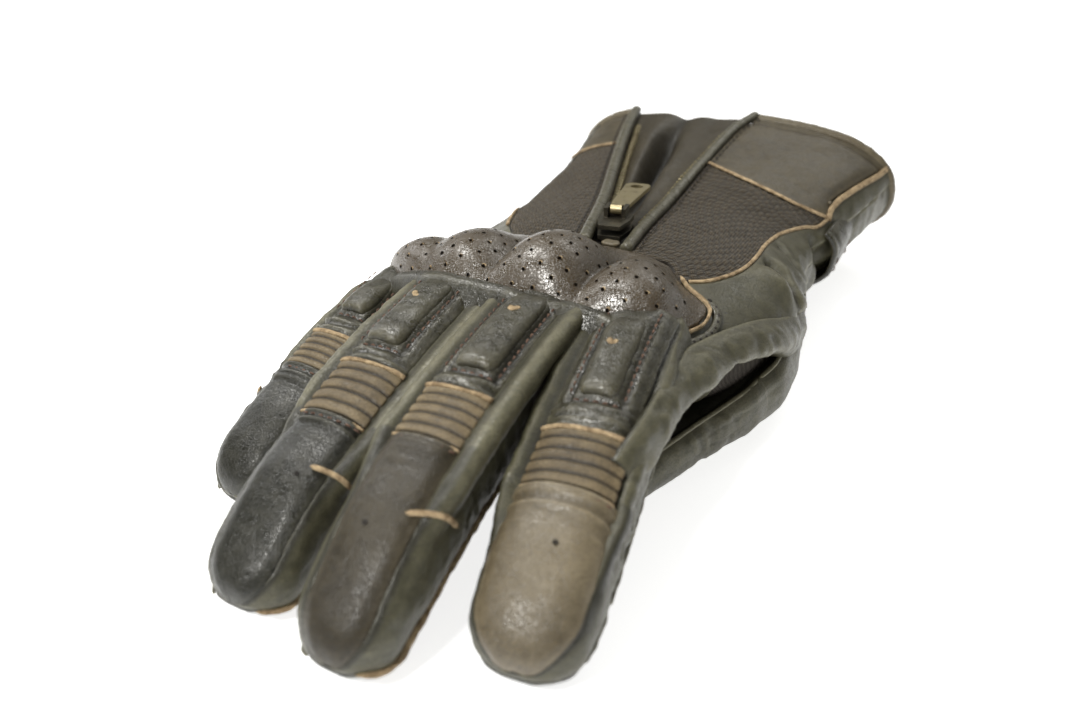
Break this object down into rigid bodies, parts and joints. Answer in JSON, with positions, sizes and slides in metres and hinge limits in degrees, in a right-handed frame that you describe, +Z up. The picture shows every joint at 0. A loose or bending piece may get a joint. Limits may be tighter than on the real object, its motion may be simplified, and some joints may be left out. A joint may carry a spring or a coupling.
{
  "type": "motorcycle riding glove",
  "caption": "Right-hand short-cuff leather riding glove with a bumped hard knuckle guard, ribbed finger flex panels, an open wrist zip and a palm-side strap.",
  "frame": {"origin": "on the resting face of the palm patch, 45 mm towards the cuff from the middle of the knuckle guard", "axes": "+Z up from the palm through the back of the hand, -Y along the fingers, +X towards the thumb"},
  "size_m": [0.1242, 0.2584, 0.057],
  "materials": {
    "dark_leather": "matt, rubbed",
    "side_leather": "matt, creased",
    "brown_leather": "satin",
    "guard_leather": "satin, perforated",
    "rib_leather": "matt",
    "tip_leather": "matt, rubbed",
    "raw_edge": "raw cut edge",
    "ribbed_fabric": "ribbed",
    "black_textile": "woven",
    "lining": "knitted",
    "hook_loop": "hook and loop",
    "zip_brass": "aged",
    "zip_slider_metal": "dark bronzed",
    "black_plastic": "matt",
    "grey_foam": "open cell"
  },
  "bodies": {
    "hand": {"back_panel": "dark_leather", "palm_panel": "dark_leather", "thenar_panel": "dark_leather", "thumb_web_gusset": "side_leather", "flank_panel": "dark_leather", "wrist_flex_little": "ribbed_fabric", "wrist_flex_thumb": "ribbed_fabric", "cuff_band_little": "brown_leather", "cuff_band_thumb": "brown_leather", "cuff_binding": "dark_leather", "zip_gusset": "brown_leather", "zip_welts": "brown_leather", "zip_tapes": "black_textile", "zip_teeth": "zip_brass", "zip_bottom_stop": "dark_leather", "guard_cover": "guard_leather", "guard_shell": "black_plastic", "guard_foam": "grey_foam", "guard_edge_trim": "raw_edge", "palm_patch": "brown_leather", "hand_lining": "lining", "wrist_elastic": "black_textile", "strap_loop_pad": "hook_loop"},
    "index_base": {"index_back": "dark_leather", "index_bar_pad": "dark_leather", "index_flex_ribs": "rib_leather", "index_fourchettes": "side_leather", "index_palm": "dark_leather"},
    "index_tip": {"index_tip_back": "tip_leather", "index_tip_wrap": "dark_leather"},
    "middle_base": {"middle_back": "dark_leather", "middle_bar_pad": "dark_leather", "middle_flex_ribs": "rib_leather", "middle_fourchettes": "side_leather", "middle_palm": "dark_leather"},
    "middle_tip": {"middle_tip_back": "tip_leather", "middle_tip_wrap": "dark_leather"},
    "ring_base": {"ring_back": "dark_leather", "ring_bar_pad": "dark_leather", "ring_flex_ribs": "rib_leather", "ring_fourchettes": "side_leather", "ring_palm": "dark_leather"},
    "ring_tip": {"ring_tip_back": "tip_leather", "ring_tip_wrap": "dark_leather"},
    "little_base": {"little_back": "dark_leather", "little_bar_pad": "dark_leather", "little_flex_ribs": "rib_leather", "little_fourchettes": "side_leather", "little_palm": "dark_leather"},
    "little_tip": {"little_tip_back": "tip_leather", "little_tip_wrap": "dark_leather"},
    "thumb_base": {"thumb_back": "side_leather", "thumb_palm": "dark_leather"},
    "thumb_tip": {"thumb_tip_back": "side_leather", "thumb_tip_palm": "dark_leather"},
    "slider": {"zip_slider": "zip_slider_metal"},
    "pull": {"zip_pull": "zip_brass"},
    "strap": {"wrist_strap": "dark_leather", "strap_hook_pad": "hook_loop"}
  },
  "joints": [
    {"name": "index_knuckle", "type": "hinge", "parent": "hand", "child": "index_base", "pos_m": [0.0382, -0.054, 0.033], "axis": [0.9945, 0.1045, 0], "range_deg": [-8, 10]},
    {"name": "index_middle_joint", "type": "hinge", "parent": "index_base", "child": "index_tip", "pos_m": [0.0428, -0.09776, 0.0205], "axis": [0.9945, 0.1045, 0], "range_deg": [-5, 60]},
    {"name": "middle_knuckle", "type": "hinge", "parent": "hand", "child": "middle_base", "pos_m": [0.0128, -0.056, 0.033], "axis": [1, 0, 0], "range_deg": [-8, 45]},
    {"name": "middle_middle_joint", "type": "hinge", "parent": "middle_base", "child": "middle_tip", "pos_m": [0.0128, -0.102, 0.0275], "axis": [1, 0, 0], "range_deg": [-5, 60]},
    {"name": "ring_knuckle", "type": "hinge", "parent": "hand", "child": "ring_base", "pos_m": [-0.013, -0.053, 0.032], "axis": [0.9986, -0.0523, 0], "range_deg": [-8, 45]},
    {"name": "ring_middle_joint", "type": "hinge", "parent": "ring_base", "child": "ring_tip", "pos_m": [-0.0153, -0.09694, 0.0235], "axis": [0.9986, -0.0523, 0], "range_deg": [-5, 60]},
    {"name": "little_knuckle", "type": "hinge", "parent": "hand", "child": "little_base", "pos_m": [-0.0374, -0.046, 0.026], "axis": [0.9962, -0.0872, 0], "range_deg": [-8, 45]},
    {"name": "little_middle_joint", "type": "hinge", "parent": "little_base", "child": "little_tip", "pos_m": [-0.04036, -0.07987, 0.018], "axis": [0.9962, -0.0872, 0], "range_deg": [-5, 60]},
    {"name": "thumb_swing", "type": "hinge", "parent": "hand", "child": "thumb_base", "pos_m": [0.054, 0, 0.014], "axis": [0, 0, 1], "range_deg": [0, 35]},
    {"name": "thumb_middle_joint", "type": "hinge", "parent": "thumb_base", "child": "thumb_tip", "pos_m": [0.04335, -0.04269, 0.01], "axis": [0.9703, -0.2419, 0], "range_deg": [-5, 45]},
    {"name": "zip_slide", "type": "slide", "parent": "hand", "child": "slider", "axis": [-0.15, 0.9881, 0.034], "range_m": [0, 0.088]},
    {"name": "pull_hinge", "type": "hinge", "parent": "slider", "child": "pull", "pos_m": [0.0078, 0.00314, 0.04659], "axis": [0.9877, 0.1564, 0], "range_deg": [0, 150]},
    {"name": "strap_peel", "type": "hinge", "parent": "hand", "child": "strap", "pos_m": [0.0625, 0.063, 0.0227], "axis": [0, -1, 0], "range_deg": [0, 50]}
  ]
}
